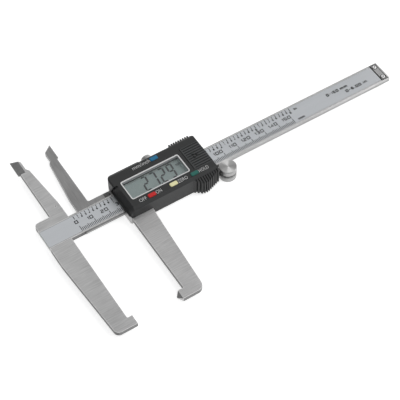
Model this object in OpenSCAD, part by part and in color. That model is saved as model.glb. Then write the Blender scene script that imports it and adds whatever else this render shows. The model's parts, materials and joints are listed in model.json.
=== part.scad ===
// Digital gauge for brake discs and drums: a graduated steel beam with a hooked jaw,
// and a slider with a pointed jaw, a crossing upper blade and a display housing.
// X runs along the beam, Y across it towards the upper blades, Z out of the graduated face.

/* [Reading] */
// Opening between the hook's face and the moving point, as the display shows it
reading = 27.29; // [1:0.01:150]

/* [Beam] */
// Length of the beam from the zero mark to its free end
beam_reach = 221.3; // [205:0.1:250]
// Length of the beam from the zero mark back to its squared head
head_reach = 22; // [20:0.1:26]
// Width of the beam over its two guiding edges
beam_w = 16; // [15:0.1:17]
// Thickness of the beam and of the fixed jaws
beam_t = 3; // [2.6:0.1:3.4]
// Bevel along the beam's guiding edges
beam_bevel = 0.8; // [0.4:0.05:0.9]
// Rounding of the beam's free corners
beam_end_r = 1.2; // [0.5:0.1:2]
// Depth of the relief behind the fixed jaw
relief_d = 0.8; // [0.4:0.1:1.2]
// Length of the relief past the fixed jaw
relief_l = 9.3; // [6:0.1:12]

/* [Scale] */
// Width of the graduated plate
scale_w = 12.2; // [11:0.1:12.4]
// Thickness of the graduated plate
scale_t = 0.2; // [0.1:0.05:0.4]
// Thickness of the sensing board under the graduated plate
scale_board_t = 0.8; // [0.5:0.1:1]
// Play of the graduated plate and its board in their pocket, on each side
scale_gap = 0.3; // [0.1:0.05:0.4]
// Length of the stop plate at the free end
stop_l = 3.7; // [3.2:0.1:4.5]
// Width of the recess for the stop plate
stop_w = 14; // [13.2:0.1:14.2]
// Thickness of the stop plate
stop_t = 0.6; // [0.4:0.1:0.8]
// Beam wall left between the stop plate and the free end
stop_wall = 0.9; // [0.6:0.1:1.5]
// Open groove between the graduated plate and the stop plate
stop_groove = 1.1; // [0.8:0.1:2]
// Depth of that groove below the beam's face
stop_groove_d = 2; // [1.2:0.1:2.2]
// Distance between the two stop screws
stop_screw_pitch = 9.1; // [7:0.1:9.3]
// Head diameter of the stop screws
stop_screw_head_d = 2.6; // [2:0.1:2.8]
// Head height of the stop screws
stop_screw_head_h = 0.7; // [0.6:0.1:1]

/* [Lower jaws] */
// Reach of the lower jaws below the beam's centre line
jaw_reach = 76.3; // [65:0.1:90]
// Height of the hooked ends
hook_h = 6.3; // [5:0.1:8]
// Length of the fixed hook from the jaw's edge to its measuring face
hook_l = 3.2; // [2.5:0.1:5]
// Distance of the fixed measuring face behind the zero mark
face_offset = 4.8; // [4:0.1:6]
// Width of the fixed jaw above its hook
fixed_tip_w = 10.3; // [8:0.1:12]
// Depth below the centre line where the fixed jaw starts to taper
taper_start = 21; // [16:0.5:30]
// Width of the moving jaw at its root
moving_root_w = 13.8; // [12:0.1:14]
// Width of the moving jaw above its hook
moving_tip_w = 10.4; // [8:0.1:11.5]
// Length of the moving hook's square part
moving_hook_l = 3.7; // [3:0.1:5]
// Length of the pyramid that ends the moving hook
point_l = 2.4; // [1.5:0.1:3.5]
// Height of the small flat on the point
point_flat = 0.6; // [0.3:0.1:1]
// Thickness of the moving jaw
jaw_t = 3; // [2.6:0.1:3.4]
// Length over which the moving jaw is ground hollow below its root
hollow_l = 9; // [6:0.5:12]

/* [Upper blades] */
// Reach of the upper blades above the beam's centre line
blade_reach = 62.3; // [55:0.1:75]
// Distance of the fixed blade's outer contact line behind the zero mark
blade_offset = 12.3; // [11.5:0.1:13]
// Step from the contact line back to the blade's outer edge
blade_step = 1.05; // [0.6:0.05:1.4]
// Height of the narrowed measuring tip
blade_tip_h = 11.6; // [9:0.1:14]
// Width of the measuring tip
blade_tip_w = 5.65; // [5:0.05:6.5]
// Width of the blade just below the measuring tip
blade_neck_w = 7.1; // [6.8:0.1:8]
// Width of the blade at its root
blade_root_w = 10.4; // [9:0.1:11]
// Width of the bevel ground on the measuring tip
blade_bevel = 4.3; // [3:0.1:5]
// Thickness left at the measuring edge
blade_edge_t = 0.4; // [0.2:0.05:0.7]
// Thickness of the moving blade and its arm
arm_t = 1.5; // [1.1:0.1:1.8]
// Distance of the shoulders from the centre line
shoulder_y = 12.8; // [11.5:0.1:13]

/* [Slider frame] */
// Length of the slider frame
frame_l = 59.2; // [56:0.1:64]
// Thickness of the frame's floor behind the beam
floor_t = 3; // [2.8:0.1:3.4]
// Thickness of the lips over the beam's front
lip_t = 0.6; // [0.4:0.1:0.9]
// Reach of the lips over the beam's edges
lip_w = 1.45; // [1:0.05:1.7]
// Running clearance of the beam in the frame, on each side
run_gap = 0.05; // [0.02:0.01:0.1]
// Thickness of the gib strip
gib_t = 0.8; // [0.5:0.05:1]
// Length of the gib strip
gib_l = 56; // [48:0.5:58]
// Distance of the gib screws' middle from the frame's left end
gib_screw_x = 26; // [24:0.5:28]
// Distance between the two gib screws
gib_screw_pitch = 33; // [26:0.5:36]
// Diameter of the gib screws
gib_screw_d = 2.5; // [2:0.1:2.6]
// Diameter of the four housing screws
case_screw_d = 2; // [1.6:0.1:2.2]
// Distance between the housing screws along the beam
case_screw_pitch_x = 47; // [44:0.5:47.5]
// Distance of the housing screws from the frame's upper and lower edges
case_screw_edge = 2.1; // [1.6:0.1:2.2]

/* [Lock screw] */
// Diameter of the knurled knob
knob_d = 6.9; // [5.5:0.1:7.4]
// Length of the knurled knob
knob_l = 5.6; // [4:0.1:7]
// Number of grooves in the knurl
knob_grooves = 24; // [16:1:30]
// Diameter of the screw's shank
lock_d = 3; // [2.4:0.1:3.2]
// Distance of the lock screw from the frame's left end
lock_x = 30.3; // [28:0.1:33]

/* [Housing] */
// Length of the housing
housing_l = 60.4; // [60:0.1:66]
// Width of the housing
housing_w = 29.4; // [29:0.1:31]
// Height of the housing's front above the beam's face
front_z = 9; // [8.6:0.1:10]
// Depth of the housing's skirt below the beam's face
skirt_z = 4.1; // [3.6:0.1:4.6]
// Wall thickness of the housing
wall = 1.5; // [1.2:0.1:1.5]
// Thickness of the front panel
front_t = 2; // [1.8:0.1:2.2]
// Slope cut along the lower front edge
lower_chamfer = 1.4; // [0.8:0.1:1.6]
// Width of the slope cut along the upper front edge
upper_chamfer = 1.5; // [1:0.1:1.6]
// Depth of that slope
upper_chamfer_h = 0.75; // [0.5:0.05:1]
// Length of the slope cut over the beam at the left end
scoop_l = 2.6; // [1.5:0.1:3]
// Height of the lip left under that slope
scoop_lip_h = 1.6; // [1.2:0.1:2.5]
// Reach of that slope above the centre line
scoop_reach = 8.6; // [7:0.1:9.5]
// Rounding of the upper left corner
corner_ul_r = 3.6; // [2.5:0.1:4.5]
// Rounding of the other corners
corner_r = 2.8; // [2:0.1:3]
// Distance from the housing's left end to the finger recess along its upper edge
recess_x = 22; // [18:0.5:30]
// Depth of the finger recess along the upper edge
finger_recess = 0.9; // [0.5:0.1:1]
// Distance of the upper grip's middle from the housing's right end
upper_grip_x = 9.6; // [9.2:0.1:10.4]
// Distance of the lower grip's middle from the housing's right end
grip_x = 8.9; // [8.4:0.1:9.4]
// Distance from the lower grip's middle to its left end
grip_left = 8.8; // [8.2:0.1:9.4]
// Distance from the lower grip's middle to the start of its crest
grip_crest = 4.2; // [3.6:0.1:4.8]
// Reach of the lower grip below the housing
grip_reach = 4.3; // [3:0.1:5]
// Reach of the lower grip at the housing's right end
grip_end_reach = 0.8; // [0.4:0.1:1.2]
// Pitch of the ribs on the finger grips
rib_pitch = 1.6; // [1.4:0.05:1.8]
// Width of one rib
rib_w = 0.8; // [0.6:0.05:1]
// Height of the ribs
rib_h = 0.85; // [0.5:0.05:1]
// Number of ribs
rib_count = 9; // [7:1:10]

/* [Display] */
// Length of the window
window_l = 38.5; // [36:0.1:39]
// Distance of the window's middle from the housing's left end
window_x = 24.8; // [24:0.1:25.6]
// Distance from the middle of the upper button row down to the window
window_above = 5.45; // [5:0.05:6]
// Distance from the middle of the lower button row up to the window
window_below = 3.45; // [3.2:0.05:4]
// Width of the white frame round the window
window_frame_w = 0.6; // [0.4:0.05:1]
// Depth of the display below the front
display_depth = 2.4; // [2.2:0.1:2.8]
// Thickness of the display glass
display_t = 1.2; // [0.8:0.1:1.6]
// Thickness of the clear window
lens_t = 0.5; // [0.3:0.1:0.8]

/* [Buttons] */
// Length of a button
button_l = 5.1; // [4.5:0.1:5.6]
// Width of a button
button_w = 2.7; // [2.3:0.1:2.9]
// Height of a button above the front
button_rise = 0.4; // [0.3:0.05:0.6]
// Travel of a button
button_travel = 0.5; // [0.3:0.05:0.6]
// Distance of the button rows from the housing's edges
button_edge = 3.5; // [3.2:0.1:3.8]
// Distance of the units button's middle from the housing's left end
units_button_x = 31.1; // [28:0.1:34]
// Distance of the zero button's middle from the housing's left end
zero_button_x = 31.2; // [28:0.1:34]
// Distance from the power button to the zero button
power_button_pitch = 14.8; // [12:0.1:16]
// Distance from the zero button to the hold button
hold_button_pitch = 14.5; // [12:0.1:16]

/* [Battery] */
// Diameter of the button cell
cell_d = 11.6; // [11:0.1:11.8]
// Height of the button cell
cell_h = 5.4; // [5:0.1:5.6]
// Width of the battery door
door_w = 17.4; // [15.6:0.1:17.8]
// Length of the battery door
door_l = 13.4; // [13:0.1:14]
// Thickness of the battery door
door_t = 1.35; // [1.2:0.05:1.45]
// Number of ribs on the battery door
door_ribs = 10; // [8:1:11]
// Depth of the grooves between the door's ribs
door_groove_d = 0.5; // [0.3:0.05:0.6]

/* [Thumb roller] */
// Diameter of the roller
roller_d = 10.9; // [9.5:0.1:12]
// Height of the roller
roller_h = 9; // [8:0.05:9.05]
// Width of the groove between the roller's discs
roller_groove = 2; // [1.7:0.1:2.4]
// Diameter of the roller's neck
roller_neck_d = 4.4; // [3.6:0.1:5]
// Distance of the roller's axis past the housing's end
roller_offset = 7.3; // [6.5:0.1:9]
// Thickness of the arm that carries the roller
roller_arm_t = 1.5; // [1.2:0.1:1.6]

/* [Hidden] */
$fn = 48;
arc_steps = 6;
slop = 0.02;
turn_gap = 0.05;
steel = [0.66, 0.66, 0.65];
plate_blue = [0.68, 0.70, 0.72];
black_plastic = [0.17, 0.18, 0.18];
board_green = [0.10, 0.32, 0.18];
bronze = [0.72, 0.52, 0.28];
white_plastic = [0.88, 0.88, 0.88];

// Heights measured from the beam's face
channel_z = -beam_t - run_gap;
back_z = channel_z - floor_t;
arm_back_z = channel_z - arm_t;
seat_z = run_gap + lip_t;
board_t = 1;
board_z = seat_z + board_t;
panel_z = front_z - front_t;
beam_mid_z = -beam_t / 2;

// Places along the slider, measured from the zero mark when the jaws are closed
frame_s = 0.8;
housing_s = 0.3;
frame_mid_s = frame_s + frame_l / 2;
housing_end_s = housing_s + housing_l;
frame_end_s = frame_s + frame_l;
face_s = -face_offset;
hook_s = face_s + point_l;
jaw_s = hook_s + moving_hook_l;
root_gap = 0.1;

// The beam's own sizes
half_w = beam_w / 2;
pocket_w = scale_w + 2 * scale_gap;
pocket_d = scale_t + scale_board_t;
pocket_end = beam_reach - stop_wall;
stop_play = 0.1;
stop_x = pocket_end - stop_play - stop_l;
scale_end = stop_x - stop_groove;
fixed_edge_x = -face_offset - hook_l;
gauge_mark_d = 0.9;
stop_screw_x = stop_x + stop_l / 2;
stop_top = stop_w / 2 - stop_play;
stop_bottom = -scale_w / 2;
stop_mid_y = (stop_top + stop_bottom) / 2;
stop_screw_d = stop_screw_head_d * 0.55;
stop_ledge = 0.2;
function stop_screw_y() = [stop_mid_y - stop_screw_pitch / 2, stop_mid_y + stop_screw_pitch / 2];

// The slider frame's channel and rails
gib_play = 0.04;
channel_top = half_w + gib_play + gib_t + gib_play;
channel_bottom = -half_w - run_gap;
frame_play = 0.1;
cavity_half = housing_w / 2 - wall;
frame_half = cavity_half - frame_play;
root_y = -housing_w / 2;
root_rise = 0.25;
root_top_z = seat_z + root_rise;
jaw_root_z = -skirt_z;
hollow_r = (hollow_l * hollow_l + root_top_z * root_top_z) / (2 * root_top_z);
gib_screw_y = channel_top;
gib_screw_l = (frame_half - channel_top) * 0.85;
gib_mid_s = frame_s + gib_screw_x;
lock_s = frame_s + lock_x;
lock_tip_gap = 0.05;

// Housing cavity and the pieces that fit in it
cavity_s0 = housing_s + scoop_l + 1.2;
cavity_s1 = housing_end_s - wall;
recess_s = housing_s + recess_x;
grip_mid_s = housing_end_s - grip_x;
upper_grip_s = housing_end_s - upper_grip_x;
rib_span = (rib_count - 1) * rib_pitch + rib_w;
grip_edge = housing_w / 2 + grip_reach + 1;
recess_end_s = upper_grip_s + rib_count * rib_pitch / 2;
well_z = front_z - display_depth;
display_z = well_z - 0.05;
button_y = housing_w / 2 - button_edge;
window_mid_s = housing_s + window_x;
window_top = button_y - window_above;
window_bottom = window_below - button_y;
window_w = window_top - window_bottom;
window_y = (window_top + window_bottom) / 2;
lens_gap = 0.08;
display_margin = 0.9;
display_l = window_l + 2 * display_margin;
display_w = window_w + 2 * display_margin;
strip_w = 1.8;
frame_ring_t = 0.45;
button_gap = 0.1;
button_flange = 0.5;
button_flange_t = 0.6;
button_hold_z = panel_z - 0.05;
dome_h = 0.4;
dome_d = 4;
chip_d = 7.2;
chip_h = 1;
screw_head_h = 0.8;
screw_sink = 0.15;
stem_d = 1.6;
stem_bottom_z = board_z + dome_h + button_travel + 0.05;
upper_button_s = housing_s + units_button_x;
zero_button_s = housing_s + zero_button_x;
power_button_s = zero_button_s - power_button_pitch;
hold_button_s = zero_button_s + hold_button_pitch;
boss_d = 3.6;

// Battery compartment
door_gap = 0.08;
door_s = housing_end_s - door_l;
door_z = front_z - door_t;
cell_gap = 0.2;
cell_s = cavity_s1 - cell_d / 2 - cell_gap;
cell_z = door_z - 0.25 - cell_h;
cup_wall = 0.8;
contact_t = 0.2;
tongue = 0.6;
tongue_t = 0.5;
tongue_z = door_z + 0.3;
contact_strip_w = 3;

// Thumb roller
roller_s = housing_end_s + roller_offset;
roller_y = -half_w - roller_d / 2 - turn_gap;
roller_z = beam_mid_z - roller_h / 2;
disc_h = (roller_h - roller_groove) / 2;
groove_z = roller_z + disc_h;
arm_z = groove_z + (roller_groove - roller_arm_t) / 2;
arm_eye_d = roller_d - 2.2;
arm_tail_l = 3.9;
arm_tail_y0 = -frame_half + 0.9;
arm_tail_y1 = channel_bottom - 1.1;
arm_slot_gap = 0.05;
arm_screw_d = 1.6;
arm_screw_s = frame_end_s - arm_tail_l / 2;
arm_screw_y = (arm_tail_y0 + arm_tail_y1) / 2;
spigot_d = roller_neck_d - 1.4;

// The frame of the whole model: the middle of the slider's back
datum = [reading + frame_mid_s, 0, back_z];

// Places a piece of the beam in the model's frame
module on_beam() {
    translate(-datum) children();
}

// Places a piece of the slider, whose X is counted from the zero mark at closed jaws
module on_slider() {
    translate([reading, 0, 0] - datum) children();
}

// Outline with an arc of radius b[2] in place of corner b
function unit(v) = v / norm(v);
function flat(p) = [p[0], p[1]];
function corner_points(a, b, c) =
    b[2] == 0 ? [flat(b)] :
    let (u = unit(flat(a) - flat(b)),
         v = unit(flat(c) - flat(b)),
         half = acos(u * v) / 2,
         centre = flat(b) + unit(u + v) * b[2] / sin(half),
         first = flat(b) + u * b[2] / tan(half) - centre,
         last = flat(b) + v * b[2] / tan(half) - centre,
         angle = atan2(first[1], first[0]),
         turn = atan2(first[0] * last[1] - first[1] * last[0], first * last))
    [for (i = [0 : arc_steps])
        centre + b[2] * [cos(angle + turn * i / arc_steps), sin(angle + turn * i / arc_steps)]];
function rounded(corners) =
    let (n = len(corners))
    [for (i = [0 : n - 1])
        each corner_points(corners[(i + n - 1) % n], corners[i], corners[(i + 1) % n])];
function rounded_box(x0, y0, x1, y1, r) =
    rounded([[x0, y0, r], [x1, y0, r], [x1, y1, r], [x0, y1, r]]);

// Plate of the given outline between two heights
module plate(points, z0, z1) {
    translate([0, 0, z0]) linear_extrude(z1 - z0) polygon(points);
}

// Prism along X whose section is given in Y and Z
module prism_x(points, x0, x1) {
    translate([x0, 0, 0]) rotate([90, 0, 90]) linear_extrude(x1 - x0) polygon(points);
}

// Prism along Y whose section is given in X and Z
module prism_y(points, y0, y1) {
    translate([0, y1, 0]) rotate([90, 0, 0]) linear_extrude(y1 - y0) polygon(points);
}

// Box between two corners
module block(a, b) {
    translate(a) cube(b - a);
}

// Cylinder along Y from y0 to y1
module rod_y(x, z, d, y0, y1) {
    translate([x, y1, z]) rotate([90, 0, 0]) cylinder(d = d, h = y1 - y0);
}

// Cylinder along Z from z0 to z1
module rod_z(x, y, d, z0, z1) {
    translate([x, y, z0]) cylinder(d = d, h = z1 - z0);
}

// Corners of an upper blade from its shoulder to its root, X counted inwards from the contact line
tip_y = blade_reach - blade_tip_h;
tip_slant = 4;
function blade_corners(root_y0) = [
    [blade_step, shoulder_y, 0.8],
    [blade_step, tip_y - 0.6, 0],
    [0, tip_y, 0],
    [0, blade_reach, 0],
    [blade_tip_w - 0.4, blade_reach - tip_slant, 0.7],
    [blade_tip_w, blade_reach - tip_slant - 1.4, 0],
    [blade_tip_w, tip_y + 0.6, 0.5],
    [blade_neck_w, tip_y - 1.4, 1],
    [blade_root_w - 0.2, shoulder_y + 6, 30],
    [blade_root_w, root_y0, 0]];

// Wedge that a blade's bevel removes, with the contact line at X 0 and the removed side up
module blade_wedge(t) {
    depth = t - blade_edge_t;
    over = 1;
    prism_y([[blade_bevel, 0], [-over, -depth * (blade_bevel + over) / blade_bevel],
        [-over, t], [blade_bevel, t]], tip_y - 1.6, blade_reach + over);
}

// Bar, head and fixed jaws in one ground piece of steel
module beam() {
    section = [[-half_w + beam_bevel, -beam_t], [half_w - beam_bevel, -beam_t],
        [half_w, -beam_t + beam_bevel], [half_w, -beam_bevel], [half_w - beam_bevel, 0],
        [-half_w + beam_bevel, 0], [-half_w, -beam_bevel], [-half_w, -beam_t + beam_bevel]];
    bar_x = fixed_edge_x - 1;
    color(steel) on_beam() difference() {
        union() {
            intersection() {
                prism_x(section, bar_x, beam_reach);
                plate(rounded([[bar_x, -half_w, 0], [beam_reach, -half_w, beam_end_r],
                    [beam_reach, half_w, beam_end_r], [bar_x, half_w, 0]]), -beam_t, 0);
            }
            plate(fixed_outline(), -beam_t, 0);
        }
        translate([-blade_offset, 0, 0]) blade_wedge(beam_t);
        block([-head_reach - 1, -pocket_w / 2, -pocket_d], [pocket_end, pocket_w / 2, 1]);
        block([fixed_edge_x, -half_w - 1, -beam_t - 1],
            [fixed_edge_x + relief_l, -half_w + relief_d, 1]);
        block([scale_end, -stop_w / 2, -pocket_d], [pocket_end, stop_w / 2, 1]);
        block([scale_end, -stop_w / 2, -stop_groove_d], [stop_x, stop_w / 2, 1]);
        for (y = stop_screw_y())
            rod_z(stop_screw_x, y, stop_screw_d, -beam_t - 1, 0);
        rod_z(-blade_offset + 7.5, shoulder_y + 4.9, gauge_mark_d, -gauge_mark_d / 2, 1);
    }
}

// Outline of the head, the fixed blade above it and the fixed hooked jaw below it
function fixed_outline() = rounded(concat(
    [[-head_reach, shoulder_y, 2.5]],
    [for (p = blade_corners(0)) [p[0] - blade_offset, p[1], p[2]]],
    [[fixed_edge_x, 0, 0],
     [fixed_edge_x, -jaw_reach + hook_h, 0.4],
     [-face_offset, -jaw_reach + hook_h, 0],
     [-face_offset, -jaw_reach, 0],
     [fixed_edge_x - fixed_tip_w, -jaw_reach, 3.4],
     [-head_reach, -taper_start, 20]]));

// Sensing board in the beam's pocket
module scale_board() {
    color(board_green) on_beam()
        block([-head_reach, -scale_w / 2, -pocket_d],
            [scale_end, scale_w / 2, -scale_t]);
}

// Graduated plate over the sensing board
module scale_plate() {
    color(plate_blue) on_beam()
        block([-head_reach, -scale_w / 2, -scale_t], [scale_end, scale_w / 2, 0]);
}

// Small plate in the end of the pocket, which keeps the slider on the beam
module end_stop() {
    notch = 0.7;
    outline = [[stop_x + notch, stop_bottom], [stop_x + stop_l, stop_bottom],
        [stop_x + stop_l, stop_top], [stop_x, stop_top], [stop_x, stop_bottom + notch]];
    head_gap = 0.3;
    color(steel) on_beam() difference() {
        plate(outline, -pocket_d, -pocket_d + stop_t);
        for (y = stop_screw_y()) {
            rod_z(stop_screw_x, y, stop_screw_d + 2 * turn_gap, -pocket_d - 1, 0);
            rod_z(stop_screw_x, y, stop_screw_head_d + 2 * head_gap, -pocket_d + stop_ledge, 0);
        }
    }
}

// Two screws whose heads are sunk in the stop plate
module end_stop_screws() {
    seat = -pocket_d + stop_ledge;
    slot_d = stop_screw_head_d * 0.35;
    color(steel) on_beam()
        for (y = stop_screw_y())
            translate([stop_screw_x, y, 0]) difference() {
                union() {
                    rod_z(0, 0, stop_screw_d - 2 * slop, -beam_t + 0.3, seat + 0.1);
                    rotate_extrude() polygon(rounded([[0, seat, 0], [stop_screw_head_d / 2, seat, 0],
                        [stop_screw_head_d / 2, seat + stop_screw_head_h, 0.2],
                        [0, seat + stop_screw_head_h, 0]]));
                }
                rod_z(0, 0, slot_d, seat + stop_screw_head_h - 0.5, seat + stop_screw_head_h + 1);
            }
}

// Outline of the moving hooked jaw below the slider's root
function moving_outline() = rounded([
    [jaw_s, root_y + 1, 0],
    [jaw_s, -jaw_reach + hook_h, 0.4],
    [hook_s, -jaw_reach + hook_h, 0.4],
    [hook_s, -jaw_reach, 0],
    [jaw_s + moving_tip_w, -jaw_reach, 4.4],
    [jaw_s + moving_root_w, root_y - 2.4, 30],
    [jaw_s + moving_root_w, root_y + 1, 0]]);

// Pyramid at the end of the moving hook, cut from two crossed wedges
module point() {
    low = -jaw_reach;
    high = -jaw_reach + hook_h;
    mid = (low + high) / 2;
    flat_t = point_flat / 2;
    intersection() {
        plate([[hook_s, low], [hook_s, high], [face_s, mid + point_flat / 2],
            [face_s, mid - point_flat / 2]], -jaw_t, 0);
        prism_y([[hook_s, -jaw_t], [face_s, -jaw_t / 2 - flat_t / 2],
            [face_s, -jaw_t / 2 + flat_t / 2], [hook_s, 0]], low, high);
    }
}

// Moving hooked jaw, ground hollow where it leaves the slider
module moving_jaw() {
    plate(moving_outline(), -jaw_t, 0);
    point();
    difference() {
        plate([[jaw_s, root_y - hollow_l], [jaw_s + moving_root_w, root_y - hollow_l],
            [jaw_s + moving_root_w, root_y + 1], [jaw_s, root_y + 1]], -1, root_top_z);
        translate([jaw_s - 1, root_y - hollow_l, hollow_r]) rotate([0, 90, 0])
            cylinder(r = hollow_r, h = moving_root_w + 2, $fn = 96);
        jaw_trim();
    }
}

// What lies right of the moving jaw's tapered edge, beside its hollow
module jaw_trim() {
    edge = jaw_s + moving_root_w;
    slope = (moving_root_w - moving_tip_w) / (jaw_reach + root_y - 2.4);
    plate([[edge, root_y - 2.4], [edge + 1, root_y - 2.4], [edge + 1, root_y - hollow_l - 1],
        [edge - slope * (hollow_l - 1.4), root_y - hollow_l - 1]], -2, root_top_z + 1);
}

// Moving upper blade and the arm that carries it past the back of the beam
module moving_blade() {
    root = -blade_offset - blade_root_w;
    arm_y = -2;
    difference() {
        plate(rounded(concat(
            [for (p = blade_corners(arm_y)) [-blade_offset - p[0], p[1], p[2]]],
            [[frame_s + 2, arm_y, 0], [frame_s + 2, shoulder_y, 0]])), arm_back_z, channel_z);
        translate([-blade_offset, 0, arm_back_z]) rotate([0, 180, 0]) blade_wedge(arm_t);
    }
}

// Slider frame: channel, lips, rails, moving jaw and moving blade in one piece of steel
module slider_frame() {
    color(steel) on_slider() difference() {
        union() {
            plate(rounded_box(frame_s, -frame_half, frame_end_s, frame_half, 0.6), back_z, seat_z);
            block([frame_s, root_y, jaw_root_z],
                [jaw_s + moving_root_w, -half_w - 1, root_top_z]);
            moving_jaw();
            moving_blade();
        }
        block([frame_s - 1, channel_bottom, channel_z], [frame_end_s + 1, channel_top, run_gap]);
        block([frame_s - 1, -half_w + lip_w, 0], [frame_end_s + 1, half_w - lip_w, seat_z + 1]);
        block([frame_s - 1, -frame_half + 0.3, seat_z],
            [jaw_s + moving_root_w + 1, 0, root_top_z + 1]);
        for (s = case_screw_s(), y = case_screw_y()) {
            rod_z(s, y, case_screw_d + 2 * turn_gap, back_z - 1, seat_z + 1);
            rod_z(s, y, 2 * case_screw_d, back_z - 1, back_z + screw_sink + screw_head_h);
        }
        for (s = gib_screw_s())
            rod_y(s, beam_mid_z, gib_screw_d, channel_top - 0.1, frame_half + 1);
        rod_y(lock_s, beam_mid_z, lock_d + 2 * turn_gap, channel_top - 0.1, frame_half + 1);
        block([frame_end_s - arm_tail_l - arm_slot_gap, arm_tail_y0 - arm_slot_gap,
            arm_z - arm_slot_gap],
            [frame_end_s + 1, arm_tail_y1 + arm_slot_gap, arm_z + roller_arm_t + arm_slot_gap]);
        rod_z(arm_screw_s, arm_screw_y, arm_screw_d + 2 * turn_gap, back_z - 1, arm_z);
        rod_z(arm_screw_s, arm_screw_y, 2 * arm_screw_d, back_z - 1,
            back_z + screw_sink + screw_head_h);
    }
}

function case_screw_s() = [frame_mid_s - case_screw_pitch_x / 2, frame_mid_s + case_screw_pitch_x / 2];
function case_screw_y() = [-frame_half + case_screw_edge, frame_half - case_screw_edge];
function gib_screw_s() = [gib_mid_s - gib_screw_pitch / 2, gib_mid_s + gib_screw_pitch / 2];

// Bronze strip that takes up the play along the beam's upper edge
module gib_strip() {
    color(bronze) on_slider()
        block([frame_mid_s - gib_l / 2, half_w + gib_play, -beam_t + 0.1],
            [frame_mid_s + gib_l / 2, half_w + gib_play + gib_t, -0.1]);
}

// Two headless screws that set the gib
module gib_screws() {
    color(steel) on_slider()
        for (s = gib_screw_s()) difference() {
            rod_y(s, beam_mid_z, gib_screw_d - 2 * slop, gib_screw_y, gib_screw_y + gib_screw_l);
            block([s - gib_screw_d / 2, gib_screw_y + gib_screw_l - 0.7, beam_mid_z - 0.2],
                [s + gib_screw_d / 2, gib_screw_y + gib_screw_l + 1, beam_mid_z + 0.2]);
        }
}

// Knurled thumb screw that clamps the gib against the beam
module lock_screw() {
    knob_y = housing_w / 2 + 0.8;
    groove_d = 0.5;
    color(steel) on_slider() difference() {
        union() {
            rod_y(lock_s, beam_mid_z, lock_d, channel_top + lock_tip_gap, knob_y + 0.5);
            translate([lock_s, knob_y, beam_mid_z]) rotate([-90, 0, 0])
                rotate_extrude() polygon(rounded([[0, 0, 0], [knob_d / 2 - 0.5, 0, 0],
                    [knob_d / 2, 0.5, 0], [knob_d / 2, knob_l, 0.6], [0, knob_l, 0]]));
        }
        for (i = [0 : knob_grooves - 1])
            translate([lock_s, 0, beam_mid_z]) rotate([0, i * 360 / knob_grooves, 0])
                translate([knob_d / 2 + 0.05, 0, 0])
                    rod_y(0, 0, groove_d, knob_y + 0.9, knob_y + knob_l - 0.8, $fn = 4);
    }
}

// Circuit board that closes the frame and reads the scale under it
module main_board() {
    edge = 0.4;
    color(board_green) on_slider() difference() {
        plate(rounded_box(cavity_s0 + edge, -frame_half + edge, cavity_s1 - edge,
            frame_half - edge, 1), seat_z, board_z);
        for (s = case_screw_s(), y = case_screw_y())
            rod_z(s, y, case_screw_d + 2 * turn_gap, seat_z - 1, board_z + 1);
    }
}

// Moulded blob over the measuring chip
module processor_chip() {
    color([0.08, 0.08, 0.08]) on_slider() translate([window_mid_s - chip_d / 2, 0, board_z])
        rotate_extrude() polygon(rounded([[0, 0, 0], [chip_d / 2, 0, 0],
            [chip_d * 0.45, chip_h * 0.8, chip_h * 0.4], [0, chip_h, 0]]));
}

// Snap domes on the board, one under each button
module switch_domes() {
    color(steel) on_slider()
        for (p = button_places()) translate([p[0], p[1], board_z])
            rotate_extrude() polygon([[0, 0], [dome_d / 2, 0], [dome_d / 2 - 0.3, dome_h * 0.7],
                [0, dome_h]]);
}
function button_places() = [[upper_button_s, button_y], [power_button_s, -button_y],
    [zero_button_s, -button_y], [hold_button_s, -button_y]];

// Rubber connector strips between the board and the display
module display_strips() {
    color([0.85, 0.45, 0.40]) on_slider()
        for (side = [-1, 1])
            translate([0, window_y + side * (display_w / 2 - strip_w / 2 - 0.2), 0])
                block([window_mid_s - display_l / 2 + 1, -strip_w / 2, board_z],
                    [window_mid_s + display_l / 2 - 1, strip_w / 2, display_z - display_t]);
}

// Liquid crystal panel behind the window
module display_panel() {
    color([0.50, 0.55, 0.53]) on_slider()
        block([window_mid_s - display_l / 2, window_y - display_w / 2, display_z - display_t],
            [window_mid_s + display_l / 2, window_y + display_w / 2, display_z]);
}

// Clear window over the display
module window_lens() {
    color([0.85, 0.90, 0.90, 0.4]) on_slider()
        plate(window_outline(-lens_gap), display_z, display_z + lens_t);
}
function window_outline(grow) = rounded_box(window_mid_s - window_l / 2 - grow,
    window_y - window_w / 2 - grow, window_mid_s + window_l / 2 + grow,
    window_y + window_w / 2 + grow, 0.6 + max(grow, 0));

// White frame let into the front round the window
module window_frame() {
    color(white_plastic) on_slider() difference() {
        plate(window_outline(window_frame_w), front_z - frame_ring_t, front_z + 0.05);
        plate(window_outline(0), front_z - 1, front_z + 1);
    }
}

// Body of the housing before it is hollowed out: plan, end section and side section
module housing_body() {
    half = housing_w / 2;
    end_r = 1;
    intersection() {
        plate(rounded([[housing_s, -half, corner_r], [housing_end_s, -half, corner_r],
            [housing_end_s, half, corner_r], [housing_s, half, corner_ul_r]]), -skirt_z, front_z);
        prism_x(rounded([[-half, -skirt_z, 0], [-half, front_z - lower_chamfer, 0.6],
            [-half + lower_chamfer, front_z, 0.4], [half - upper_chamfer, front_z, 0.4],
            [half, front_z - upper_chamfer_h, 0.4], [half, -skirt_z, 0]]),
            housing_s - 1, housing_end_s + 1);
        prism_y(rounded([[housing_s, -skirt_z, 0], [housing_s, front_z, end_r],
            [housing_end_s, front_z, end_r], [housing_end_s, -skirt_z, 0]]), -half - 1, half + 1);
    }
}

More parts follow.
